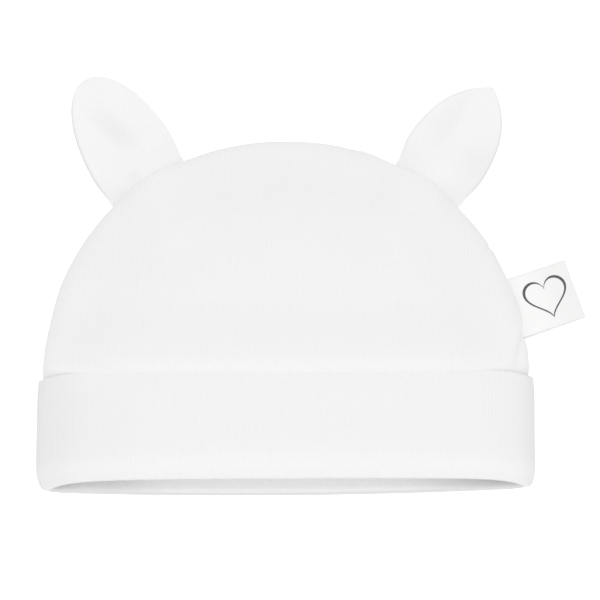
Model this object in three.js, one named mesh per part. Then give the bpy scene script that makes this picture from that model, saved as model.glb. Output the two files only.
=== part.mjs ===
// Baby hat with ears and a turned-up cuff, lying on its back. Millimetres, +Z up.
// The opening faces -Y and the ears point towards +Y. The hat lies on z = 0, and the origin is
// under the middle of its back.
import * as THREE from "three";

const { clamp, lerp, smoothstep } = THREE.MathUtils;

// Driving dimensions.
const seamGap = 0.3; // between pieces that are sewn to each other
const hemY = -62; // the fold at the bottom of the cuff, at the side seams
const hemSkew = 0.0085; // the hem climbs this much towards +X
const seamHeight = 10; // of the seam round the hat's edge above the surface it lies on

const crown = {
  wall: 1.2,
  halfWidth: 87.2,
  shoulderY: -20.8, // the sides are straight below this and curve inwards above it
  domeHeight: 85.8, // from the shoulders to the top of the head
  domeSquareness: 2.08, // 2 is an ellipse
  lowerEdgeUp: 8, // the panels end this far above the fold, where the cuff's cloth goes on
  columns: 30,
  rows: 18,
};

// How the two sides of the hat stand off the seam's plane. They rise between these two places.
const riseFrom = -40;
const riseTo = 45;
const front = {
  sign: 1,
  riseAtHem: 17.5,
  riseAtCrown: 24,
  plateau: 2.6, // higher is flatter in the middle
  shoulder: 1.9, // higher is rounder at the seam
  hemShift: 4, // the full front draws its hem up from the side seams
  hemShiftSpread: 12, // higher keeps the shifted hem straight for longer
};
const back = {
  sign: -1,
  riseAtHem: 10.6,
  riseAtCrown: 10.6,
  plateau: 12,
  shoulder: 2,
  hemShift: -1.1, // the flat back hangs a little below them
  hemShiftSpread: 2,
};

const cuff = {
  wall: 1.3,
  height: 38,
  sideSlack: 0.8, // how far the cuff stands off the crown at the side seams
  stations: 26, // along each side of the hat
  // The middle of the cloth in section: up from the fold, and out from the crown's outer face.
  section: [
    { up: 7.7, out: -0.6 },
    { up: 4.6, out: -1.1 },
    { up: 2.1, out: -1.45 },
    { up: 0.8, out: -0.95 },
    { up: 0.75, out: 0.1 },
    { up: 2.0, out: 0.75 },
    { up: 5.0, out: 0.98 },
    { up: 9.0, out: 1.0 },
    { up: 23.0, out: 1.0 },
    { up: 34.0, out: 1.05 },
    { up: 38.0, out: 1.3 },
  ],
};
const cuffStack = 1.65; // the back of the crown lies on the cuff, this far off the surface
const cuffStackFade = 12; // and comes down to the surface over this length

// Flaps caught in the seam. seamAt places a flap by its share of the crown's half width, and
// heading is the way it points, in degrees from +X towards +Y.
const earTaper = { left: { fullness: 2.9, tip: 0.55 }, right: { fullness: 3.9, tip: 0.9 } };
const ears = [
  { name: "ear_left", seamAt: -0.579, heading: 121.5, length: 46, halfWidth: 16.7,
    taper: earTaper.left, baseWidth: 0.92, tipHeight: 5.4, lean: -1.2 },
  { name: "ear_right", seamAt: 0.594, heading: 56.8, length: 45.7, halfWidth: 15.9,
    taper: earTaper.right, baseWidth: 0.86, tipHeight: 2.4, lean: 0.8 },
];
const ear = {
  edgeThickness: 2.2,
  middleThickness: 5,
  trough: 1.6, // the edges curl up by this much
  columns: 12,
  rows: 14,
};
const label = {
  name: "label", seamAt: 0.963, heading: 19.7, length: 22.8, halfWidth: 11,
  thickness: 1.2, tipHeight: 6.5, columns: 2, rows: 6,
};

const slopeOf = (rise, shape, share) =>
  (rise * shape.plateau * share ** (shape.plateau - 1)) / shape.shoulder;

// 0 on the hat's middle line and 1 on the seam round its edge.
function edgeShare(x, y) {
  const across = Math.abs(x) / crown.halfWidth;
  const up = Math.max(0, y - crown.shoulderY) / crown.domeHeight;
  const n = crown.domeSquareness;
  return (across ** n + up ** n) ** (1 / n);
}

// The way that edgeShare grows fastest, which is square to the seam.
function edgeDirection(x, y) {
  const n = crown.domeSquareness - 1;
  const across = Math.abs(x) / crown.halfWidth;
  const up = Math.max(0, y - crown.shoulderY) / crown.domeHeight;
  return new THREE.Vector2(
    (Math.sign(x) * across ** n) / crown.halfWidth,
    up ** n / crown.domeHeight,
  );
}

// The seam's Y at a share of the crown's half width.
function seamY(share) {
  const n = crown.domeSquareness;
  return crown.shoulderY + crown.domeHeight * (1 - Math.abs(share) ** n) ** (1 / n);
}

// How high the back of the crown lies: on the cuff near the hem, and on the surface above it.
function restHeight(y) {
  const cuffTop = hemY + cuff.height + 1;
  return cuffStack * (1 - smoothstep(y, cuffTop, cuffTop + cuffStackFade));
}

// A point on one side of the crown, moved out along its normal. edgeLift keeps the point off the
// seam's plane.
function sidePoint(side, x, y, out, edgeLift = 0) {
  const share = Math.min(1, edgeShare(x, y));
  const rise = lerp(side.riseAtHem, side.riseAtCrown, smoothstep(y, riseFrom, riseTo));
  const fullness = (1 - share ** side.plateau) ** (1 / side.shoulder);
  let z = seamHeight + side.sign * (edgeLift + (rise - edgeLift) * fullness);
  const steepness = (1 - share ** side.plateau) ** (1 - 1 / side.shoulder);
  const outwards = edgeDirection(x, y).multiplyScalar(slopeOf(rise, side, share));
  const normal = new THREE.Vector3(outwards.x, outwards.y, side.sign * steepness).normalize();
  if (side === back && z < restHeight(y)) {
    z = restHeight(y);
    normal.set(0, 0, -1);
  }
  return new THREE.Vector3(x, y, z).addScaledVector(normal, out);
}

// How far up the hem lies from hemY, at a share of the half width.
const hemShiftAt = (side, share) =>
  hemSkew * share * crown.halfWidth + side.hemShift * (1 - Math.abs(share) ** side.hemShiftSpread);

// Columns are close together near the seam, where the cloth turns.
const shareOfColumn = (column, columns) => -Math.cos((Math.PI * column) / columns);

// Turns a closed mesh's faces outwards.
function facingOut(positions, triangles) {
  const corner = (i) => new THREE.Vector3(...positions.slice(3 * i, 3 * i + 3));
  let volume = 0;
  for (const [a, b, c] of triangles) volume += corner(a).dot(corner(b).cross(corner(c)));
  const index = volume > 0 ? triangles : triangles.map(([a, b, c]) => [a, c, b]);
  return new THREE.BufferGeometry()
    .setAttribute("position", new THREE.Float32BufferAttribute(positions, 3))
    .setIndex(index.flat());
}

// A closed wall between two faces, each a function of a column and a row.
function wallBetween(columns, rows, face, otherFace) {
  const positions = [];
  const width = columns + 1;
  const faceSize = width * (rows + 1);
  for (const point of [face, otherFace])
    for (let row = 0; row <= rows; row++)
      for (let column = 0; column <= columns; column++)
        positions.push(...point(column, row).toArray());

  const triangles = [];
  const quad = (a, b, c, d) => triangles.push([a, b, c], [a, c, d]);
  for (let row = 0; row < rows; row++)
    for (let column = 0; column < columns; column++) {
      const a = row * width + column;
      quad(a, a + 1, a + width + 1, a + width);
      const b = a + faceSize;
      quad(b, b + width, b + width + 1, b + 1);
    }

  const rim = [];
  for (let column = 0; column < columns; column++) rim.push(column);
  for (let row = 0; row < rows; row++) rim.push(row * width + columns);
  for (let column = columns; column > 0; column--) rim.push(rows * width + column);
  for (let row = rows; row > 0; row--) rim.push(row * width);
  rim.forEach((from, i) => {
    const to = rim[(i + 1) % rim.length];
    quad(to, from, from + faceSize, to + faceSize);
  });
  return facingOut(positions, triangles);
}

// A band swept round a closed loop. ringPoint takes a station and a corner of the section.
function sweptRing(stations, corners, ringPoint) {
  const positions = [];
  for (let station = 0; station < stations; station++)
    for (let corner = 0; corner < corners; corner++)
      positions.push(...ringPoint(station, corner).toArray());

  const triangles = [];
  for (let station = 0; station < stations; station++)
    for (let corner = 0; corner < corners; corner++) {
      const next = (station + 1) % stations;
      const a = station * corners + corner;
      const b = station * corners + ((corner + 1) % corners);
      const c = next * corners + ((corner + 1) % corners);
      const d = next * corners + corner;
      triangles.push([a, b, c], [a, c, d]);
    }
  return facingOut(positions, triangles);
}

// One half of the crown, from the cuff's cloth to the seam over the top of the head.
function crownPanel(side) {
  const { columns, rows, wall, halfWidth, lowerEdgeUp } = crown;
  const facePoint = (depth) => (column, row) => {
    const share = shareOfColumn(column, columns);
    const lowerEdge = hemY + lowerEdgeUp + hemShiftAt(side, share);
    const y = lerp(lowerEdge, seamY(share), Math.sin((Math.PI / 2) * (row / rows)));
    return sidePoint(side, share * halfWidth, y, -depth, seamGap / 2);
  };
  return wallBetween(columns, rows, facePoint(0), facePoint(wall));
}

// The cuff's section as a closed outline: the cloth's middle line, moved half its thickness
// each way.
function cuffOutline() {
  const middle = cuff.section.map(({ up, out }) => new THREE.Vector2(up, out));
  const half = cuff.wall / 2;
  const edge = (direction) =>
    middle.map((point, i) => {
      const before = middle[Math.max(i - 1, 0)];
      const after = middle[Math.min(i + 1, middle.length - 1)];
      const along = after.clone().sub(before).normalize();
      return point.clone().add(new THREE.Vector2(-along.y, along.x).multiplyScalar(direction * half));
    });
  return [...edge(1), ...edge(-1).reverse()];
}

// The band round the opening: a short leg inside, the fold, and the turned-up outer leaf.
function cuffBand() {
  const outline = cuffOutline();
  const { stations, sideSlack } = cuff;
  const ringPoint = (station, corner) => {
    const side = station < stations ? front : back;
    const turn = shareOfColumn(station % stations, stations);
    const share = side === front ? turn : -turn;
    const { x: up, y: out } = outline[corner];
    const slack = sideSlack * Math.abs(share) ** 8 * clamp(out, 0, 1);
    const y = hemY + hemShiftAt(side, share) + up;
    const point = sidePoint(side, share * crown.halfWidth, y, out + slack);
    point.z = Math.max(point.z, 0); // pressed flat by the surface
    return point;
  };
  return sweptRing(2 * stations, outline.length, ringPoint);
}

// A flap that starts at the seam. widthAt is the half width at a share of the length, heightAt
// the middle of the cloth, and thicknessAt its thickness, at a share of the length and width.
function flap(shape, grid, widthAt, heightAt, thicknessAt) {
  const start = new THREE.Vector2(shape.seamAt * crown.halfWidth, seamY(shape.seamAt));
  const heading = THREE.MathUtils.degToRad(shape.heading);
  const ahead = new THREE.Vector2(Math.cos(heading), Math.sin(heading));
  const aside = new THREE.Vector2(-ahead.y, ahead.x);
  const planPoint = (along, across) =>
    start.clone().addScaledVector(ahead, along).addScaledVector(aside, across);

  // Where a line beside the flap's middle line comes out of the crown, found by halving.
  const clearShare = 1 + seamGap / crown.domeHeight;
  const leavesSeam = (across) => {
    let inside = -shape.length / 2;
    let outside = shape.length / 2;
    for (let step = 0; step < 30; step++) {
      const middle = (inside + outside) / 2;
      const { x, y } = planPoint(middle, across);
      if (edgeShare(x, y) < clearShare) inside = middle;
      else outside = middle;
    }
    return outside;
  };

  const { columns, rows } = grid;
  const facePoint = (up) => (column, row) => {
    const acrossShare = shareOfColumn(column, columns);
    const alongShare = Math.sin((Math.PI / 2) * (row / rows)) * 0.998;
    const base = leavesSeam(acrossShare * widthAt(0));
    const along = lerp(base, shape.length, alongShare);
    const { x, y } = planPoint(along, acrossShare * widthAt(alongShare));
    const thickness = thicknessAt(alongShare, acrossShare);
    return new THREE.Vector3(x, y, heightAt(alongShare, acrossShare) + (up * thickness) / 2);
  };
  return wallBetween(columns, rows, facePoint(1), facePoint(-1));
}

function earFlap(shape) {
  const widthAt = (along) => {
    const taper = (1 - along ** shape.taper.fullness) ** shape.taper.tip;
    return shape.halfWidth * taper * lerp(shape.baseWidth, 1, smoothstep(along, 0, 0.3));
  };
  const heightAt = (along, across) =>
    lerp(seamHeight, shape.tipHeight, smoothstep(along, 0, 1)) +
    smoothstep(along, 0, 0.4) * (ear.trough * across ** 2 + shape.lean * across * (1 - along));
  const thicknessAt = (along, across) =>
    lerp(ear.edgeThickness, ear.middleThickness, (1 - across ** 2) * Math.sin(Math.PI * along));
  return flap(shape, ear, widthAt, heightAt, thicknessAt);
}

function labelFlap() {
  const heightAt = (along) => lerp(seamHeight, label.tipHeight, along);
  return flap(label, label, () => label.halfWidth, heightAt, () => label.thickness);
}

const knit = new THREE.MeshStandardMaterial({ color: 0xf0f0f0, roughness: 0.95, metalness: 0 });
const ribbon = new THREE.MeshStandardMaterial({ color: 0xf2f2f1, roughness: 0.6, metalness: 0 });

const hat = new THREE.Group();
function add(name, geometry, material) {
  const mesh = new THREE.Mesh(geometry, material);
  mesh.name = name;
  hat.add(mesh);
}

add("crown_front", crownPanel(front), knit);
add("crown_back", crownPanel(back), knit);
add("cuff", cuffBand(), knit);
for (const shape of ears) add(shape.name, earFlap(shape), knit);
add(label.name, labelFlap(), ribbon);

export default hat;
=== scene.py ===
import math

import bpy
import numpy as np
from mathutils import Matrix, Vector, noise


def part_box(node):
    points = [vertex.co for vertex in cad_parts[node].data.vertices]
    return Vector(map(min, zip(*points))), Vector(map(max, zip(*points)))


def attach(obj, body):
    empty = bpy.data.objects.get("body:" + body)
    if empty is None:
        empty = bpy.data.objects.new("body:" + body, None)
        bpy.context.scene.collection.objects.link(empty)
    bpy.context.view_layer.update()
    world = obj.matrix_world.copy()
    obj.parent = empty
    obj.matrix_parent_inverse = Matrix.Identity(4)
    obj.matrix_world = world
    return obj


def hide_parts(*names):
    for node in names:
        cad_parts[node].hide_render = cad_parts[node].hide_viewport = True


# Baby hat with ears, lying on its back. Metres, +Z up, the opening towards -Y.
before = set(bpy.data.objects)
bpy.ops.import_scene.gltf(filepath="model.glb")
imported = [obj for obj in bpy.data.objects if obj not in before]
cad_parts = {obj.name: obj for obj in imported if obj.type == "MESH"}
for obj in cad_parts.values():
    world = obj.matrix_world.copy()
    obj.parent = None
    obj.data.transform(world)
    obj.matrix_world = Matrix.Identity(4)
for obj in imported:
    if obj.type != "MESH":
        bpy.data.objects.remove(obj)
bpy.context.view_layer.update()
print("frame loaded:", ", ".join(sorted(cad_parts)))

mm = 0.001
frontLow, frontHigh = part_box("crown_front")
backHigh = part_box("crown_back")[1]
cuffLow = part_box("cuff")[0]

hat = {
    "halfWidth": frontHigh.x,
    "top": frontHigh.y,
    "shoulder": frontHigh.y - 85.8 * mm,  # the dome starts here
    "squareness": 2.08,  # 2 is an ellipse
    "seamHeight": (frontLow.z + backHigh.z) / 2,
    "hem": cuffLow.y + 1.75 * mm,  # the fold at the side seams
    "hemSkew": 0.0085,  # the hem climbs this much towards +X
    "fullFrom": -40 * mm,  # the hat gets thicker from here
    "fullTo": 45 * mm,  # to here
    "wall": 1.2 * mm,
    "ribPitch": 1.3 * mm,
    "ribDepth": 0.07 * mm,
}


# 0 below low and 1 above high, with a soft step between
def smooth(value, low, high):
    share = np.clip((value - low) / (high - low), 0, 1)
    return share * share * (3 - 2 * share)


def mix(a, b, share):
    return a + (b - a) * share


def bell(value, width):
    return np.exp(-((value / width) ** 2))


# slow waves that are the same each run, about -1 to 1
def drift(points, wavelength, seed):
    shift = Vector((17.3 * seed, 5.1 * seed, 9.7 * seed))
    return np.array([noise.noise(Vector(p) / wavelength + shift) for p in points]) * 1.6


camera = {"lens": 150, "distance": 0.905, "elevation": 81, "aim": (5.2 * mm, 6.6 * mm, 12 * mm)}
lights = [
    {"name": "key", "place": (0.08, -0.3, 1.3), "size": 1.2, "watts": 2.25},
    {"name": "behind", "place": (0.0, 1.0, 1.0), "size": 1.2, "watts": 1.8},
    {"name": "front", "place": (0.1, -1.3, 0.5), "size": 0.9, "watts": 2.4},
]
surroundings = {"horizon": 0.88, "zenith": 0.84, "climb": 0.7, "floorGlow": 0.5}


def addCamera():
    elevation = math.radians(camera["elevation"])
    back = Vector((0, -math.cos(elevation), math.sin(elevation)))
    bpy.ops.object.camera_add(location=Vector(camera["aim"]) + back * camera["distance"])
    made = bpy.context.object
    made.rotation_euler = (-back).to_track_quat("-Z", "Y").to_euler()
    made.data.lens = camera["lens"]
    made.data.clip_end = 20
    bpy.context.scene.camera = made


# a pale studio, almost even from the horizon to overhead
def addSurroundings():
    world = bpy.data.worlds.new("studio")
    world.use_nodes = True
    world.node_tree.nodes.clear()
    start = Wire(world.node_tree, None)
    direction = start.node("ShaderNodeTexCoord", output=0)
    split = start.node("ShaderNodeSeparateXYZ", output=2, Vector=direction)
    up = start.maths("MAXIMUM", split, 0.0) ** surroundings["climb"]
    strength = up * (surroundings["zenith"] - surroundings["horizon"]) + surroundings["horizon"]
    glow = start.node("ShaderNodeBackground", Color=(1, 1, 1, 1), Strength=strength)
    start.node("ShaderNodeOutputWorld", Surface=glow)
    bpy.context.scene.world = world
    bpy.context.scene.view_settings.view_transform = "Standard"


def addLights():
    for light in lights:
        bpy.ops.object.light_add(type="AREA", location=light["place"])
        made = bpy.context.object
        made.name = light["name"]
        made.rotation_euler = (-made.location).to_track_quat("-Z", "Y").to_euler()
        made.data.size = light["size"]
        made.data.energy = light["watts"]


# a socket that Python's own operators work on
class Wire:
    def __init__(self, tree, socket):
        self.tree = tree
        self.socket = socket

    # adds any node: its type, its settings, then the values or wires of its sockets
    def node(self, kind, settings=None, output=0, **sockets):
        made = self.tree.nodes.new(kind)
        for setting, value in (settings or {}).items():
            setattr(made, setting, value)
        for name, value in sockets.items():
            key = int(name[1:]) if name[0] == "i" and name[1:].isdigit() else name.replace("_", " ")
            if isinstance(value, Wire):
                self.tree.links.new(value.socket, made.inputs[key])
            else:
                made.inputs[key].default_value = value
        return Wire(self.tree, made.outputs[output] if made.outputs else None)

    def maths(self, operation, a, b=0.0):
        return self.node("ShaderNodeMath", {"operation": operation}, i0=a, i1=b)

    def __add__(self, other):
        return self.maths("ADD", self, other)

    def __sub__(self, other):
        return self.maths("SUBTRACT", self, other)

    def __rsub__(self, other):
        return self.maths("SUBTRACT", other, self)

    def __mul__(self, other):
        return self.maths("MULTIPLY", self, other)

    def __truediv__(self, other):
        return self.maths("DIVIDE", self, other)

    def __pow__(self, other):
        return self.maths("POWER", self, other)

    __radd__ = __add__
    __rmul__ = __mul__


def newMaterial(name):
    material = bpy.data.materials.new(name)
    material.use_nodes = True
    material.node_tree.nodes.clear()
    return material, Wire(material.node_tree, None)


def colourBetween(start, low, high, share):
    ends = {"i6": (*low, 1), "i7": (*high, 1)}
    return start.node("ShaderNodeMix", {"data_type": "RGBA"}, 2, Factor=share, **ends)


# how much light (above 0) and shade (below 0) is painted on a piece at each place, see markLight
def paintedLight(start):
    return start.node("ShaderNodeAttribute", {"attribute_name": "paintedGlowAndShade"}, 2)


# a matt finish, with a painted glow (emission) that stands in for light coming through the cloth
def finish(start, colour, height, bump, roughness, sheen, through):
    normal = start.node("ShaderNodeBump", Strength=bump, Distance=0.1 * mm, Height=height)
    light = paintedLight(start)
    glow = colourBetween(start, (0, 0, 0), (through, through, through), light)
    shader = start.node(
        "ShaderNodeBsdfPrincipled", Base_Color=colour, Roughness=roughness, Normal=normal,
        Sheen_Weight=sheen, Sheen_Roughness=0.5, Specular_IOR_Level=0.2,
        Emission_Color=glow, Emission_Strength=1.0,
    )
    start.node("ShaderNodeOutputMaterial", Surface=shader)


knit = {
    "ribRound": 0.7,  # heights, in shares of the bump
    "stitchHigh": 0.22,
    "fluffHigh": 0.35,
    "stitchLean": 0.45,  # how far a V stitch dips, in courses
    "fluffScale": 2600.0,
    "cloudScale": 38.0,
    "fleckScale": 900.0,
    "stitchShade": 0.008,
    "uneven": 0.03,
    "roughness": 0.92,
    "sheen": 0.12,
}


# fine rib knit: V stitches in rows, painted shade in the grooves between the ribs, a little uneven, and
# the painted shade from the attribute darkens the colour
def knitMaterial(name, look):
    material, start = newMaterial(name)
    weave = start.node("ShaderNodeUVMap", {"uv_map": "weave"})
    place = start.node("ShaderNodeTexCoord", output=3)
    across = start.node("ShaderNodeSeparateXYZ", output=0, Vector=weave)
    along = Wire(start.tree, across.socket.node.outputs[1])
    inRib = start.maths("FRACT", across / look["pitch"]) - 0.5
    fromMiddle = start.maths("ABSOLUTE", inRib) * 2
    course = along / look["course"] + fromMiddle * knit["stitchLean"]
    stitch = start.maths("SINE", course * (2 * math.pi))
    # the painted shade: the painted attribute's part below 0, which darkens the colour
    shaded = start.maths("MINIMUM", paintedLight(start), 0.0)
    fluff = start.node("ShaderNodeTexNoise", Vector=place, Scale=knit["fluffScale"], Detail=3.0)
    ribbed = (1 - fromMiddle * fromMiddle) * knit["ribRound"]
    height = ribbed + stitch * knit["stitchHigh"] + fluff * knit["fluffHigh"]
    cloudy = start.node("ShaderNodeTexNoise", Vector=place, Scale=knit["cloudScale"], Detail=2.0)
    fleck = start.node("ShaderNodeTexNoise", Vector=place, Scale=knit["fleckScale"], Detail=2.0)
    # painted shade in the grooves between the ribs; the stitch and unevenness terms are the knit's own
    # tone
    shade = 1 - (fromMiddle**4) * look["grooveShade"] - stitch * knit["stitchShade"]
    shade = shade + (cloudy + fleck - 1) * knit["uneven"]
    colour = colourBetween(start, look["dark"], look["light"], shade + shaded)
    finish(start, colour, height, look["bump"], knit["roughness"], knit["sheen"], look["through"])
    return material


materials = {}


def makeMaterials():
    materials["rib"] = knitMaterial("ribKnit", {
        "pitch": hat["ribPitch"], "course": 0.9 * mm, "grooveShade": 0.08, "bump": 0.22,
        "dark": (0.7, 0.7, 0.7), "light": (0.86, 0.86, 0.86), "through": 0.12,
    })
    materials["ear"] = knitMaterial("earJersey", {
        "pitch": 0.75 * mm, "course": 0.6 * mm, "grooveShade": 0.12, "bump": 0.4,
        "dark": (0.77, 0.77, 0.77), "light": (0.905, 0.905, 0.905), "through": 0.0,
    })
    materials["ribbon"] = knitMaterial("cottonRibbon", {
        "pitch": 0.3 * mm, "course": 0.3 * mm, "grooveShade": 0.1, "bump": 0.25,
        "dark": (0.76, 0.76, 0.755), "light": (0.88, 0.88, 0.875), "through": 0.05,
    })
    floor, start = newMaterial("paleFloor")
    seen = start.node("ShaderNodeLightPath")  # the floor glows for the camera only
    glow = colourBetween(start, (0, 0, 0), (surroundings["floorGlow"],) * 3, seen)
    shader = start.node(
        "ShaderNodeBsdfPrincipled", Base_Color=(0.8, 0.8, 0.8, 1), Roughness=0.8,
        Emission_Color=glow, Emission_Strength=1.0,
    )
    start.node("ShaderNodeOutputMaterial", Surface=shader)
    materials["floor"] = floor
    ink, start = newMaterial("greyPrint")
    place = start.node("ShaderNodeTexCoord", output=3)
    speckle = start.node("ShaderNodeTexNoise", Vector=place, Scale=1500.0)
    colour = colourBetween(start, (0.07, 0.07, 0.07), (0.16, 0.16, 0.16), speckle)
    finish(start, colour, speckle, 0.3, 0.8, 0.0, 0.0)
    materials["ink"] = ink


# a flat grid to be shaped, with each point's column and row
def addGrid(name, columns, rows):
    bpy.ops.object.select_all(action="DESELECT")
    bpy.ops.mesh.primitive_grid_add(x_subdivisions=columns, y_subdivisions=rows, size=2)
    piece = bpy.context.object
    piece.name = name
    piece.data.uv_layers[0].name = "weave"
    flat = np.empty(len(piece.data.vertices) * 3)
    piece.data.vertices.foreach_get("co", flat)
    flat = flat.reshape(-1, 3)
    column = np.rint((flat[:, 0] + 1) / 2 * columns).astype(int)
    row = np.rint((flat[:, 1] + 1) / 2 * rows).astype(int)
    return piece, column, row


# moves the grid's points to their places and lays the weave on them
def shapeGrid(piece, points, across, along):
    piece.data.vertices.foreach_set("co", points.astype(np.float32).ravel())
    corners = np.empty(len(piece.data.loops), int)
    piece.data.loops.foreach_get("vertex_index", corners)
    weave = np.stack([across[corners], along[corners]], axis=1)
    piece.data.uv_layers["weave"].data.foreach_set("uv", weave.astype(np.float32).ravel())
    piece.data.update()


# painted light on the hat's inside, by share of the half width: a glow in the middle that stands in for
# light coming through the cloth, and painted shade in the side corners
insideGlowAndShade = {
    "litTo": 0.45,
    "dimFrom": 0.75,
    "corners": [
        {"sign": 1, "shade": 0.85, "from": 0.68, "to": 0.9},
        {"sign": -1, "shade": 0.7, "from": 0.8, "to": 0.97},
    ],
}


def insideLight(share):
    light = 1 - smooth(np.abs(share), insideGlowAndShade["litTo"], insideGlowAndShade["dimFrom"])
    return light - sideShade(insideGlowAndShade["corners"], share)


# how dark the two sides of the hat are painted
def sideShade(sides, share):
    return sum(side["shade"] * smooth(share * side["sign"], side["from"], side["to"]) for side in sides)


# paints a glow that stands in for light coming through the cloth, up to 1, and painted shade in folds,
# corners and under edges, down to -1
def markLight(piece, amount):
    light = piece.data.attributes.new("paintedGlowAndShade", "FLOAT", "POINT")
    light.data.foreach_set("value", amount.astype(np.float32))


def selectOnly(piece):
    bpy.ops.object.select_all(action="DESELECT")
    piece.select_set(True)
    bpy.context.view_layer.objects.active = piece


def flipFaces(piece):
    selectOnly(piece)
    bpy.ops.object.mode_set(mode="EDIT")
    bpy.ops.mesh.select_all(action="SELECT")
    bpy.ops.mesh.flip_normals()
    bpy.ops.object.mode_set(mode="OBJECT")


# welds a rolled grid's join and fills the open loops at its two ends
def closeEnds(piece, weld):
    selectOnly(piece)
    bpy.ops.object.mode_set(mode="EDIT")
    bpy.ops.mesh.select_all(action="SELECT")
    bpy.ops.mesh.remove_doubles(threshold=weld)
    bpy.ops.mesh.select_all(action="DESELECT")
    bpy.ops.mesh.select_mode(type="EDGE")
    bpy.ops.mesh.select_non_manifold()
    bpy.ops.mesh.edge_face_add()
    bpy.ops.object.mode_set(mode="OBJECT")


# welds a closed piece and turns every face outwards
def faceOut(piece, weld):
    selectOnly(piece)
    bpy.ops.object.mode_set(mode="EDIT")
    bpy.ops.mesh.select_all(action="SELECT")
    bpy.ops.mesh.remove_doubles(threshold=weld)
    bpy.ops.mesh.normals_make_consistent(inside=False)
    bpy.ops.object.mode_set(mode="OBJECT")


def applyModifier(piece, kind, **settings):
    selectOnly(piece)
    added = piece.modifiers.new(kind.lower(), kind)
    for setting, value in settings.items():
        setattr(added, setting, value)
    bpy.ops.object.modifier_apply(modifier=added.name)


def placePiece(piece, node, material):
    selectOnly(piece)
    bpy.ops.object.shade_smooth()
    piece.data.materials.clear()
    piece.data.materials.append(materials[material])
    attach(piece, "root")
    if node:
        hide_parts(node)


# each side's height over its outline and the line of its hem. More plateau is a flatter middle, and
# more shoulder a steeper edge
frontSide = {
    "sign": 1, "riseAtHem": 18 * mm, "riseAtCrown": 24 * mm,
    "plateau": 2.6, "fuller": 0.4, "shoulder": 1.9,
    "hemShift": 2.4 * mm, "hemSpread": 12, "hemTilt": -0.004,
    "hemDroop": 2.8 * mm, "droopReach": 6 * mm,
}
backSide = {
    "sign": -1, "riseAtHem": 10.6 * mm, "riseAtCrown": 10.6 * mm,
    "plateau": 12, "fuller": 0, "shoulder": 2,
    "hemShift": -1.75 * mm, "hemSpread": 2, "hemTilt": 0,
    "hemDroop": 0, "droopReach": 6 * mm,
}
# the front of the cuff slopes off towards the side seams, up to its free edge
cuffEnds = [
    {"sign": -1, "from": 52 * mm, "drop": 0.5},
    {"sign": 1, "from": 74 * mm, "drop": 0.25},
]
cuffEndsFade = {"from": -30 * mm, "to": -16 * mm}
# the back lies on the cuff, and its crown comes down to the surface past the cuff's edge
stack = {"lift": 1.9 * mm, "top": hat["hem"] + 39 * mm, "fade": 12 * mm}

# what is caught in the seam round the hat, by its share of the crown's half width
flaps = {
    "ear_left": {
        "seamAt": -0.579, "heading": 121.5, "length": 46 * mm, "halfWidth": 16.7 * mm,
        "fullness": 2.9, "tip": 0.55, "baseWidth": 0.92, "above": 5.5 * mm, "below": 1.2 * mm,
    },
    "ear_right": {
        "seamAt": 0.594, "heading": 56.8, "length": 45.7 * mm, "halfWidth": 15.9 * mm,
        "fullness": 3.9, "tip": 0.9, "baseWidth": 0.86, "above": 5.2 * mm, "below": 1.2 * mm,
    },
    "label": {
        "seamAt": 0.963, "heading": 19.7, "length": 22.8 * mm, "halfWidth": 11.1 * mm,
        "baseWidth": 1.05, "above": 0.9 * mm, "below": 0.6 * mm,
    },
}
lipFade = {"from": 1.3, "to": 2.2}  # where a lip ends, in half widths of its flap


# how near a place is to the hat's outline, which is at 1
def edgeShare(x, y):
    n = hat["squareness"]
    across = np.abs(x) / hat["halfWidth"]
    up = np.maximum(0, y - hat["shoulder"]) / (hat["top"] - hat["shoulder"])
    return (across**n + up**n) ** (1 / n)


def seamY(share):
    n = hat["squareness"]
    return hat["shoulder"] + (hat["top"] - hat["shoulder"]) * (1 - np.abs(share) ** n) ** (1 / n)


def seamPoint(share):
    return Vector((share * hat["halfWidth"], float(seamY(share)), hat["seamHeight"]))


# how round a flap's root is at a distance from its middle line
def rootShape(flap, offset):
    share = np.abs(offset) / (flap["halfWidth"] * flap["baseWidth"])
    return np.maximum(0, 1 - share**2) ** 1.5


# how far one side's edge stands off the seam's plane round the flaps that the seam holds
def lipAt(side, x, y):
    lip = np.zeros_like(x)
    for flap in flaps.values():
        start, ahead, aside = flapFrame(flap)
        dx, dy = x - start[0], y - start[1]
        opening = flap["above"] if side is frontSide else flap["below"]
        fade = [lipFade[end] * flap["halfWidth"] for end in ("from", "to")]
        near = 1 - smooth(np.hypot(dx, dy), *fade)
        lip += opening * rootShape(flap, dx * aside[0] + dy * aside[1]) * near
    return lip


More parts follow.
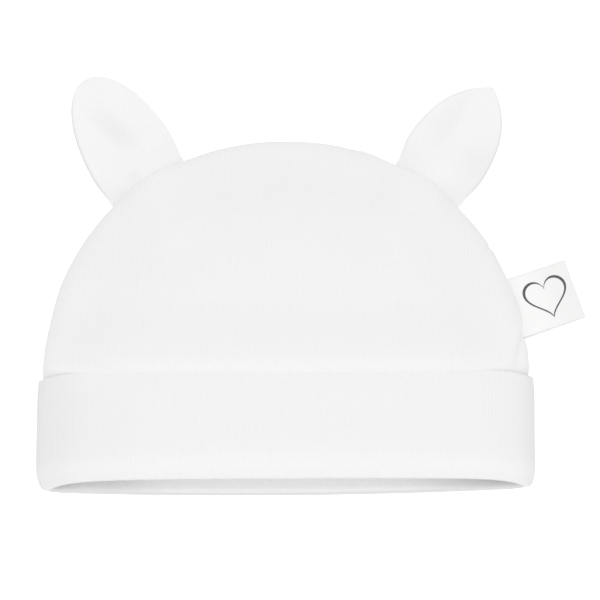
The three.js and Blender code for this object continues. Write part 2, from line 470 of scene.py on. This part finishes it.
# points on one side of the hat, and the way out from it
def sideSurface(side, x, y):
    n = hat["squareness"]
    share = np.minimum(1, edgeShare(x, y))
    full = smooth(y, hat["fullFrom"], hat["fullTo"])
    rise = mix(side["riseAtHem"], side["riseAtCrown"], full)
    rise = rise - side["hemDroop"] * bell(y - hat["hem"] - side["hemShift"], side["droopReach"])
    lip = lipAt(side, x, y)
    plateau = side["plateau"] + side["fuller"] * x / hat["halfWidth"]
    inside = 1 - share**plateau
    z = hat["seamHeight"] + side["sign"] * (lip + (rise - lip) * inside ** (1 / side["shoulder"]))
    slope = rise * plateau / side["shoulder"] * share ** (plateau - 1)
    depth = hat["top"] - hat["shoulder"]
    across = np.abs(x) / hat["halfWidth"]
    up = np.maximum(0, y - hat["shoulder"]) / depth
    normal = np.stack([
        slope * np.sign(x) * across ** (n - 1) / hat["halfWidth"],
        slope * up ** (n - 1) / depth,
        side["sign"] * inside ** (1 - 1 / side["shoulder"]),
    ], axis=-1)
    normal /= np.linalg.norm(normal, axis=-1, keepdims=True)
    if side is frontSide:
        onCuff = 1 - smooth(y, cuffEndsFade["from"], cuffEndsFade["to"])
        for end in cuffEnds:
            length = hat["halfWidth"] - end["from"]
            beyond = np.clip((x * end["sign"] - end["from"]) / length, 0, 1)
            z -= end["drop"] * beyond**1.5 * onCuff * (z - hat["seamHeight"])
    if side is backSide:
        onStack = 1 - smooth(y, stack["top"], stack["top"] + stack["fade"])
        lift = hat["ribDepth"] + stack["lift"] * onStack
        low = z < lift
        z = np.where(low, lift, z)
        normal[low] = (0, 0, -1)
    return np.stack([x, y, z], axis=-1), normal


# how far a side's hem is from the hat's hem line, towards the crown
def hemShift(side, share):
    across = share * hat["halfWidth"]
    shift = side["hemShift"] + side["hemTilt"] * across
    return hat["hemSkew"] * across + shift * (1 - np.abs(share) ** side["hemSpread"])


# equal steps along the cloth across one side, as shares of the half width, and each step's place
# in the ribs
def clothSteps(side, perRib):
    turn = np.linspace(0, math.pi / 2, 4000)
    share = np.sin(turn)
    x = share * hat["halfWidth"]
    rise = side["riseAtHem"] * 1.3  # about the mean from hem to crown
    z = rise * (1 - share ** side["plateau"]) ** (1 / side["shoulder"])
    length = np.concatenate([[0], np.cumsum(np.hypot(np.diff(x), np.diff(z)))])
    ribs = 2 * round(length[-1] / hat["ribPitch"])
    steps = np.linspace(-1, 1, ribs * perRib + 1)
    shares = np.sign(steps) * np.interp(np.abs(steps) * length[-1], length, share)
    return shares, (steps + 1) / 2 * ribs


def ribHeight(phase):
    return (np.abs(np.sin(math.pi * phase)) ** 0.8 - 0.6) * hat["ribDepth"]


crown = {
    "perRib": {"front": 4, "back": 3},
    "rows": {"front": 82, "back": 54},
    "lowerEdge": 7 * mm,  # above the fold, where the cuff's cloth goes on
    "bulge": 3.4 * mm,  # over the cuff's edge
    "bulgeFrom": -4 * mm,  # above the cuff's edge
    "bulgeAt": 4 * mm,
    "bulgeTo": 26 * mm,
    "bulgeLeft": 0.15,  # the share that stays above that
    "bulgeSides": {"from": 0.72, "loss": 0.75},
    "seamGroove": 0.5 * mm,
    "seamGrooveWidth": 1.0 * mm,
    "pucker": 0.12,
    "puckers": 120,
    "dart": {
        "x": 0.6 * mm, "length": 27 * mm, "width": 0.9 * mm, "depth": 0.22 * mm,
        "endHeight": 0.25 * mm, "endWidth": 4 * mm, "endLength": 5 * mm,
    },
    "waves": 0.3 * mm,
    "pressed": 0.8,  # how much of its ribs and waves the back loses where it lies
    # painted light: a glow near the seam, standing in for light through the single layer, and a painted
    # highlight band where it swells over the cuff
    "edgeLight": 0.33,
    "edgeLightFrom": 0.74,
    "seamLoss": 0.6,
    "swellLight": {"amount": 0.14, "at": 1.8 * mm, "width": 1.7 * mm, "from": 0.55, "to": 0.8},
}

# soft folds in the front, from where they start at the seam, by share of the half width
folds = [
    {"at": -0.80, "turn": -75, "length": 8 * mm, "width": 2.6 * mm, "depth": 0.15 * mm},
    {"at": 0.63, "turn": -27, "length": 7 * mm, "width": 1.4 * mm, "depth": -0.35 * mm},
    {"at": 0.85, "turn": -118, "length": 8 * mm, "width": 1.5 * mm, "depth": 0.5 * mm},
    {"at": 0.985, "turn": -105, "length": 19 * mm, "width": 2.2 * mm, "depth": 1.1 * mm},
]


# how deep the soft folds are at each place
def foldDepth(x, y):
    depth = np.zeros_like(x)
    for fold in folds:
        start = seamPoint(fold["at"])
        angle = math.radians(fold["turn"])
        ahead = (x - start.x) * math.cos(angle) + (y - start.y) * math.sin(angle)
        aside = -(x - start.x) * math.sin(angle) + (y - start.y) * math.cos(angle)
        fade = 1 - smooth(ahead, 0.2 * fold["length"], fold["length"])
        wider = 0.7 + 0.6 * np.clip(ahead / fold["length"], 0, 1)
        across = aside / (fold["width"] * wider)
        depth += fold["depth"] * fade * (1 - 1.1 * across**2) * np.exp(-(across**2))
    return depth


def crownPanel(name, side, key):
    perRib, rows = crown["perRib"][key], crown["rows"][key]
    shares, phases = clothSteps(side, perRib)
    piece, column, row = addGrid(name, len(shares) - 1, rows)
    share, phase = shares[column], phases[column]
    x = share * hat["halfWidth"]
    lower = hat["hem"] + crown["lowerEdge"] + hemShift(side, share)
    y = lower + (seamY(share) - lower) * np.sin(math.pi / 2 * row / rows)
    surface, normal = sideSurface(side, x, y)

    cuffEdge = hat["hem"] + hemShift(side, share) + cuff["height"] - edgeDip(share)
    above = y - cuffEdge
    sides = crown["bulgeSides"]
    middle = 1 - sides["loss"] * smooth(np.abs(share), sides["from"], 1)
    fade = smooth(above, crown["bulgeAt"], crown["bulgeTo"])
    swell = smooth(above, crown["bulgeFrom"], crown["bulgeAt"]) * (1 - (1 - crown["bulgeLeft"]) * fade)
    out = ribHeight(phase)
    sewnShut = 1 - smooth(lipAt(side, x, y), 0, 0.5 * mm)
    seam = bell(surface[:, 2] - hat["seamHeight"], crown["seamGrooveWidth"]) * sewnShut
    angle = np.arctan2(y - hat["shoulder"], x)
    out -= seam * crown["seamGroove"] * (1 + crown["pucker"] * np.sin(angle * crown["puckers"]))
    wavy = drift(surface, 34 * mm, 1) + 0.4 * drift(surface, 13 * mm, 2)
    out += crown["waves"] * wavy * smooth(y, cuffEdge - 2 * mm, cuffEdge + 10 * mm) * (1 - seam)
    if side is frontSide:
        out += crown["bulge"] * swell * middle
        out -= foldDepth(x, y) * smooth(above, 0, 5 * mm)
        dart = crown["dart"]
        below = hat["top"] - y
        fade = 1 - smooth(below, 0.4 * dart["length"], dart["length"])
        out -= dart["depth"] * bell(x - dart["x"], dart["width"]) * fade
        end = bell(x - dart["x"], dart["endWidth"]) * bell(below - dart["length"], dart["endLength"])
        out += dart["endHeight"] * end
    else:
        out *= 1 - crown["pressed"] * (normal[:, 2] < -0.999) * (out > 0)
    points = surface + normal * out[:, None]
    points[:, 2] = np.maximum(points[:, 2], 0)
    shapeGrid(piece, points, phase * hat["ribPitch"], y)
    # painted light: a glow near the seam, weaker in the seam's groove, and a painted highlight band
    # above the cuff's edge
    light = crown["edgeLight"] * smooth(edgeShare(x, y), crown["edgeLightFrom"], 1)
    light *= 1 - crown["seamLoss"] * seam
    if side is frontSide:
        band = crown["swellLight"]
        inMiddle = 1 - smooth(np.abs(share), band["from"], band["to"])
        light += band["amount"] * bell(above - band["at"], band["width"]) * inMiddle
    return piece, share, light


def makeCrown():
    for name, node, side, key in (
        ("crownFront", "crown_front", frontSide, "front"),
        ("crownBack", "crown_back", backSide, "back"),
    ):
        piece, share, light = crownPanel(name, side, key)
        if side is backSide:
            flipFaces(piece)
        applyModifier(piece, "SOLIDIFY", thickness=hat["wall"], offset=-1)
        # painted light on the outer face, and the painted glow and corner shade on the inner face
        markLight(piece, np.concatenate([light, insideLight(share)]))
        placePiece(piece, node, "rib")
        print("crown panel:", name, len(piece.data.polygons), "faces")


cuff = {
    "height": 38.6 * mm,
    "dip": 1.4 * mm,  # the free edge hangs lower in the middle
    "dipFrom": 9 * mm,  # above the fold
    "dipTo": 38 * mm,
    "wall": 1.3 * mm,
    "edgeWall": 0.85 * mm,  # the free edge is pressed thin
    "thinFrom": 33 * mm,
    "sideSlack": 0.9 * mm,
    "seamGroove": {"from": 0.97, "width": 0.9 * mm, "depth": 0.6 * mm},
    "cornerIn": {-1: 1.3 * mm, 1: 0.5 * mm},  # the fold is rounded off at the side seams
    "cornerFrom": -1 * mm,
    "cornerTo": 7 * mm,
    "perRib": 4,
    # the middle of the cloth: above the fold, and out from the crown's surface
    "section": [
        {"up": 11.0, "out": -0.7, "steps": 3},
        {"up": 7.5, "out": -1.2, "steps": 3},
        {"up": 3.6, "out": -1.75, "steps": 2},
        {"up": 1.5, "out": -1.95, "steps": 3},
        {"up": 0.45, "out": -1.4, "steps": 3},
        {"up": 0.45, "out": -0.1, "steps": 3},
        {"up": 1.5, "out": 0.7, "steps": 3},
        {"up": 4.0, "out": 1.05, "steps": 2},
        {"up": 9.0, "out": 1.12, "steps": 3},
        {"up": 20.0, "out": 1.1, "steps": 3},
        {"up": 31.0, "out": 1.1, "steps": 2},
        {"up": 35.5, "out": 1.0, "steps": 3},
        {"up": 38.6, "out": 0.9, "steps": 1},
    ],
    "edgeWaves": 0.35 * mm,
    "wavesFrom": 28 * mm,
    "backDepth": 60 * mm,  # sets the back's waves apart from the front's
    "roundings": 4,
    "insideLight": 0.8,  # the painted glow inside is weaker here, as less light comes through the cuff's two layers than the crown's one
    # painted shade under the back's fold
    "foldShade": {"amount": 0.6, "from": 0.3 * mm, "to": 1.1 * mm},  # under the back's fold
    # painted shade at the cuff's two ends
    "endShades": [
        {"sign": -1, "shade": 0.28, "from": 0.78, "to": 0.97},
        {"sign": 1, "shade": 0.24, "from": 0.92, "to": 0.99},
    ],
    "rollLight": {"amount": 0.15, "at": 4.6 * mm, "width": 3 * mm},  # painted highlight on the roll above the fold
}


def edgeDip(share):
    return cuff["dip"] * (1 - share**2)


# a point between b and c on the smooth curve through all four
def curvePoint(a, b, c, d, t):
    square = (2 * a - 5 * b + 4 * c - d) * t**2
    cube = (3 * b - a - 3 * c + d) * t**3
    return 0.5 * (2 * b + (c - a) * t + square + cube)


# the section's middle line as a smooth curve, with its tangents
def sectionLine():
    knots = np.array([(row["up"], row["out"]) for row in cuff["section"]]) * mm
    padded = np.vstack([2 * knots[0] - knots[1], knots, 2 * knots[-1] - knots[-2]])
    line = []
    for i, row in enumerate(cuff["section"][:-1]):
        for step in range(row["steps"]):
            line.append(curvePoint(*padded[i:i + 4], step / row["steps"]))
    line.append(knots[-1])
    line = np.array(line)
    tangent = np.gradient(line, axis=0)
    tangent /= np.linalg.norm(tangent, axis=1, keepdims=True)
    return line, tangent


# the closed outline of the cuff's cloth: each row's middle, its normal, its share of half the
# thickness along the normal, its reach past the cloth's end, and its tangent
def sectionOutline():
    line, tangent = sectionLine()
    normal = np.stack([-tangent[:, 1], tangent[:, 0]], axis=1)
    rows = [(line[i], normal[i], 1.0, 0.0, tangent[i]) for i in range(len(line))]
    for turn in np.linspace(0, math.pi, cuff["roundings"] + 2)[1:-1]:
        rows.append((line[-1], normal[-1], math.cos(turn), math.sin(turn), tangent[-1]))
    rows += [(line[i], normal[i], -1.0, 0.0, tangent[i]) for i in range(len(line) - 1, -1, -1)]
    for turn in np.linspace(0, math.pi, cuff["roundings"] + 2)[1:-1]:
        rows.append((line[0], normal[0], -math.cos(turn), -math.sin(turn), tangent[0]))
    rows.append(rows[0])
    return [np.array(part) for part in zip(*rows)]


# the light and shade painted on the cuff, by its place: across, above the fold and out from the crown
def cuffLight(share, up, out, onFront):
    light = smooth(-out, 1.2 * mm, 2 * mm) * insideLight(share)
    fold, roll = cuff["foldShade"], cuff["rollLight"]
    under = ~onFront * (1 - smooth(up, fold["from"], fold["to"]))
    light = np.where(light > 0, cuff["insideLight"] * light, light) * (1 - under)
    light = light - fold["amount"] * under
    band = roll["amount"] * bell(up - roll["at"], roll["width"]) * onFront
    return light + (band - sideShade(cuff["endShades"], share)) * smooth(out, 0, mm)


def makeCuff():
    frontShares, frontPhases = clothSteps(frontSide, cuff["perRib"])
    backShares, backPhases = clothSteps(backSide, cuff["perRib"])
    shares = np.concatenate([frontShares, backShares[::-1][1:]])
    phases = np.concatenate([frontPhases, frontPhases[-1] + backPhases[1:]])
    onFront = np.arange(len(shares)) < len(frontShares)
    middle, normal, across, past, tangent = sectionOutline()
    piece, column, row = addGrid("cuffBand", len(shares) - 1, len(middle) - 1)

    share, phase = shares[column], phases[column]
    thin = smooth(middle[row, 0], cuff["thinFrom"], cuff["height"])
    half = mix(cuff["wall"], cuff["edgeWall"], thin) / 2
    thick = half * across[row] + ribHeight(phase)
    place = middle[row] + normal[row] * thick[:, None] + tangent[row] * (half * past[row])[:, None]
    up, out = place[:, 0], place[:, 1]
    x = share * hat["halfWidth"]
    deep = np.where(onFront[column], 0, cuff["backDepth"] * (1 - share**2))
    spot = np.stack([x, deep, np.zeros_like(x)], axis=1)
    wavy = smooth(up, cuff["wavesFrom"], cuff["dipTo"]) * drift(spot, 21 * mm, 3)
    dip = edgeDip(share) * smooth(up, cuff["dipFrom"], cuff["dipTo"])
    up = up + cuff["edgeWaves"] * wavy - dip
    spot[:, 2] = up
    out = out + 0.5 * cuff["edgeWaves"] * drift(spot, 26 * mm, 4) * smooth(out, 0, mm)
    out = out + cuff["sideSlack"] * np.abs(share) ** 8 * smooth(out, 0, mm)

    points = np.empty((len(share), 3))
    for side, chosen in ((frontSide, onFront[column]), (backSide, ~onFront[column])):
        y = hat["hem"] + hemShift(side, share[chosen]) + up[chosen]
        surface, away = sideSurface(side, x[chosen], y)
        points[chosen] = surface + away * out[chosen][:, None]
    seam = cuff["seamGroove"]
    groove = bell(points[:, 2] - hat["seamHeight"], seam["width"]) * (np.abs(share) > seam["from"])
    points[:, 0] -= np.sign(share) * groove * smooth(out, 0, mm) * seam["depth"]
    corner = np.abs(share) ** 14 * (1 - smooth(up, cuff["cornerFrom"], cuff["cornerTo"]))
    points[:, 0] -= corner * np.where(share < 0, -cuff["cornerIn"][-1], cuff["cornerIn"][1])
    points[:, 2] = np.maximum(points[:, 2], 0.02 * mm)
    line = np.concatenate([[0], np.cumsum(np.linalg.norm(np.diff(middle, axis=0), axis=1))])
    shapeGrid(piece, points, phase * hat["ribPitch"], line[row])
    markLight(piece, cuffLight(share, place[:, 0], out, onFront[column]))
    faceOut(piece, 1e-6)
    placePiece(piece, "cuff", "rib")
    print("cuff:", len(piece.data.polygons), "faces")


def flapFrame(flap):
    start = seamPoint(flap["seamAt"])
    heading = math.radians(flap["heading"])
    ahead = np.array([math.cos(heading), math.sin(heading)])
    aside = np.array([-ahead[1], ahead[0]])
    return np.array([start.x, start.y]), ahead, aside


# where a line beside the flap's middle line leaves the crown
def leavesSeam(flap, across):
    start, ahead, aside = flapFrame(flap)
    steps = np.linspace(-flap["length"] / 2, flap["length"] / 2, 1600)
    found = []
    for offset in np.atleast_1d(across):
        points = start + np.outer(steps, ahead) + offset * aside
        found.append(steps[np.argmax(edgeShare(points[:, 0], points[:, 1]) > 1)])
    return np.array(found)


ears = {
    "ear_left": {
        "name": "earLeft", "edge": 2.6 * mm, "middle": 4.8 * mm, "roundSide": 0.45,
        "tipHeight": 6.2 * mm, "trough": 1.6 * mm, "lean": -2.0 * mm,
        "dents": [
            {"along": 0.53, "across": 0.03, "turn": 13, "depth": 1.3 * mm, "shade": 0.33,
             "longer": 11 * mm, "widths": (4 * mm, 3.6 * mm)},
            {"along": 0.09, "across": 0.2, "turn": 60, "depth": 0.5 * mm, "shade": 0.25,
             "longer": 2.5 * mm, "widths": (1.6 * mm, 1.6 * mm)},
        ],
        "rims": (0.1, 1.1),  # painted shade on the turned edges, on the ear's right and left
    },
    "ear_right": {
        "name": "earRight", "edge": 2.2 * mm, "middle": 4.6 * mm, "roundSide": -0.5,
        "tipHeight": 2.8 * mm, "trough": 1.0 * mm, "lean": 1.0 * mm,
        "dents": [
            {"along": 0.6, "across": 0.4, "turn": 4, "depth": 0.9 * mm, "shade": 0.22,
             "longer": 12 * mm, "widths": (2.8 * mm, 4.5 * mm)},
            {"along": 0.36, "across": -0.85, "turn": 8, "depth": 0.7 * mm, "shade": 0.26,
             "longer": 13 * mm, "widths": (8 * mm, 8 * mm)},
        ],
        "rims": (0.7, 0.5),
    },
}
earGrid = {
    "around": 96, "along": 90, "tuckRows": 6, "weld": 2e-5,
    "tuck": 3 * mm,  # how far the ear starts inside the seam
    "blend": 0.5,  # the share of the length over which the root takes the crown's lip
    "tipFrom": 0.965,  # where the tip's rounding starts
    "reach": 0.9995,
    "waves": 0.3 * mm,
    "rimWidth": 0.7 * mm,
}


# how much lower an ear's dents make it, or with value="shade" how much painted shade they get
def dentDepth(ear, flap, along, offset, value="depth"):
    depth = np.zeros_like(along)
    for dent in ear["dents"]:
        angle = math.radians(dent["turn"])
        ahead = along - dent["along"] * flap["length"]
        aside = offset - dent["across"] * flap["halfWidth"]
        lengthwise = (ahead * math.cos(angle) + aside * math.sin(angle)) / dent["longer"]
        crosswise = aside * math.cos(angle) - ahead * math.sin(angle)
        crosswise /= np.where(crosswise < 0, dent["widths"][0], dent["widths"][1])
        depth += dent[value] * np.exp(-((lengthwise**2 + crosswise**2) ** 1.4))
    return depth


# a closed pad rolled from a grid: columns run round it, rows from inside the seam to the tip
def makeEar(node):
    flap, ear = flaps[node], ears[node]
    around, rows, tuckRows = earGrid["around"], earGrid["along"], earGrid["tuckRows"]
    piece, column, row = addGrid(ear["name"], around, rows)
    turns = 2 * math.pi * np.arange(around + 1) / around
    across, upper = np.cos(turns)[column], np.sin(turns)[column]
    share = np.sin(math.pi / 2 * np.maximum(0, row - tuckRows) / (rows - tuckRows)) * earGrid["reach"]
    taper = (1 - share ** flap["fullness"]) ** flap["tip"]
    offset = across * flap["halfWidth"] * taper * mix(flap["baseWidth"], 1, smooth(share, 0, 0.3))
    base = leavesSeam(flap, np.cos(turns) * flap["halfWidth"] * flap["baseWidth"])[column]
    along = base + (flap["length"] - base) * share - earGrid["tuck"] * np.maximum(0, 1 - row / tuckRows)

    padding = (1 - across**2) * np.sin(math.pi * share) ** 0.8
    wide = np.minimum(1, 2.2 * taper)
    thicker = 1 + ear["roundSide"] * across * wide
    edge = ear["edge"] * thicker * np.abs(upper) ** 0.45
    beyond = np.clip((share - earGrid["tipFrom"]) / (1 - earGrid["tipFrom"]), 0, 1)
    half = (edge + (ear["middle"] - ear["edge"]) * padding) / 2 * np.sqrt(1 - beyond**2)
    height = mix(hat["seamHeight"], ear["tipHeight"], smooth(share, 0, 1))
    curl = ear["trough"] * across**2 + ear["lean"] * across * (1 - 0.5 * share)
    height = height + curl * wide
    top = height + half - dentDepth(ear, flap, along, offset)
    underside = height - half - 0.4 * dentDepth(ear, flap, along, offset)
    root = rootShape(flap, across * flap["halfWidth"] * flap["baseWidth"])
    free = smooth(share, 0, earGrid["blend"])
    top = mix(hat["seamHeight"] + flap["above"] * root + 0.15 * mm, top, free)
    underside = mix(hat["seamHeight"] - flap["below"] * root - 0.15 * mm, underside, free)

    start, ahead, aside = flapFrame(flap)
    plan = start + along[:, None] * ahead + offset[:, None] * aside
    z = np.where(upper > 1e-6, top, np.where(upper < -1e-6, underside, (top + underside) / 2))
    points = np.stack([plan[:, 0], plan[:, 1], z], axis=1)
    points[:, 2] += earGrid["waves"] * drift(points, 12 * mm, 5) * smooth(share, 0.1, 0.4)
    points[:, 2] = np.maximum(points[:, 2], 0.05 * mm)
    shapeGrid(piece, points, offset, along)
    rim = np.where(across > 0, ear["rims"][1], ear["rims"][0]) * smooth(share, 0.02, 0.2)
    fromRim = (1 - np.abs(across)) * flap["halfWidth"] * taper
    rim *= bell(fromRim, earGrid["rimWidth"]) * (1 - smooth(share, 0.85, 0.97))
    # painted shade on the turned rims and in the dents
    markLight(piece, -rim - dentDepth(ear, flap, along, offset, "shade"))
    closeEnds(piece, earGrid["weld"])
    faceOut(piece, earGrid["weld"])
    placePiece(piece, node, "ear")
    print("ear:", piece.name, len(piece.data.polygons), "faces")


ribbon = {
    "layer": 0.4 * mm, "apart": 0.45 * mm, "fold": 1.0 * mm,
    "columns": 36, "leafRows": 26, "foldRows": 8,
    "tipHeight": 6.5 * mm, "tuck": 2 * mm, "curl": 0.7 * mm, "waves": 0.25 * mm,
    "skew": 0.4 * mm,  # how far the lower leaf is off the upper at the seam
}
motif = {
    "size": 0.52 * mm, "inner": 0.89, "columns": 120, "rows": 3,
    "clear": 0.02 * mm, "thickness": 0.04 * mm, "weld": 2e-7,
}


# the middle of the folded ribbon's two leaves
def ribbonHeight(along, across):
    flap = flaps["label"]
    share = along / flap["length"]
    height = mix(hat["seamHeight"], ribbon["tipHeight"], share)
    height = height + ribbon["curl"] * (across / flap["halfWidth"]) ** 3 * smooth(share, 0.2, 1)
    spot = np.stack([along, across, np.zeros_like(along)], axis=1)
    return height + ribbon["waves"] * drift(spot, 9 * mm, 6) * smooth(share, 0, 0.5)


def ribbonPoint(along, across, z):
    start, ahead, aside = flapFrame(flaps["label"])
    plan = start + along[:, None] * ahead + across[:, None] * aside
    return np.stack([plan[:, 0], plan[:, 1], z], axis=1)


# one ribbon: out on top, round the fold and back underneath
def makeLabel():
    flap = flaps["label"]
    leaf, turnRows = ribbon["leafRows"], ribbon["foldRows"]
    piece, column, row = addGrid("ribbonLabel", ribbon["columns"], 2 * leaf + turnRows)
    across = (2 * column / ribbon["columns"] - 1) * flap["halfWidth"]
    bases = leavesSeam(flap, np.linspace(-1, 1, ribbon["columns"] + 1) * flap["halfWidth"])
    inner = bases[column] - ribbon["tuck"]
    radius = ribbon["fold"] / 2
    foldAt = flap["length"] - radius - ribbon["layer"] / 2
    turn = math.pi * np.clip((row - leaf) / turnRows, 0, 1)
    leafShare = np.clip(np.minimum(row, 2 * leaf + turnRows - row) / leaf, 0, 1)
    along = mix(inner, foldAt, leafShare) + radius * np.sin(turn)
    apart = mix(ribbon["apart"], ribbon["fold"], smooth(leafShare, 0.3, 1))
    z = ribbonHeight(along, across) + np.cos(turn) * apart / 2
    shift = ribbon["skew"] * (1 - leafShare) * (turn > 1.5)
    points = ribbonPoint(along, across - shift, z)
    way = np.where(turn > 1.5, 2 * foldAt - along, along)
    shapeGrid(piece, points, across, way)
    # painted glow on the top leaf, strongest by the seam and fading towards the fold
    markLight(piece, (1 - smooth(along / flap["length"], 0.2, 0.8)) * (turn < 1.5))
    applyModifier(piece, "SOLIDIFY", thickness=ribbon["layer"], offset=0)
    placePiece(piece, "label", "ribbon")
    print("label:", len(piece.data.polygons), "faces")


# a plain heart in outline, printed on the label's top leaf
def makeMotif():
    flap = flaps["label"]
    piece, column, row = addGrid("labelHeart", motif["columns"], motif["rows"])
    turn = 2 * math.pi * column / motif["columns"]
    scale = motif["size"] * mix(motif["inner"], 1, row / motif["rows"])
    sideways = 16 * np.sin(turn) ** 3
    upwards = 13 * np.cos(turn) - 5 * np.cos(2 * turn) - 2 * np.cos(3 * turn) - np.cos(4 * turn) + 2
    middle = (float(leavesSeam(flap, 0)[0]) + flap["length"]) / 2 + 0.4 * mm
    along, across = middle + sideways * scale, upwards * scale
    leafShare = (along + ribbon["tuck"]) / (flap["length"] + ribbon["tuck"])
    apart = mix(ribbon["apart"], ribbon["fold"], smooth(leafShare, 0.3, 1))
    z = ribbonHeight(along, across) + (apart + ribbon["layer"]) / 2 + motif["clear"]
    shapeGrid(piece, ribbonPoint(along, across, z), along, across)
    faceOut(piece, motif["weld"])
    applyModifier(piece, "SOLIDIFY", thickness=motif["thickness"], offset=0)
    faceOut(piece, motif["weld"])
    placePiece(piece, None, "ink")
    print("heart:", len(piece.data.polygons), "faces")


def addFloor():
    bpy.ops.mesh.primitive_plane_add(size=12, location=(0, 0, -0.1 * mm))
    floor = bpy.context.object
    floor.name = "floor"
    floor.data.materials.append(materials["floor"])


addCamera()
addLights()
addSurroundings()
makeMaterials()
addFloor()
print("camera, light and floor")
makeCrown()
makeCuff()
for node in ears:
    makeEar(node)
makeLabel()
makeMotif()
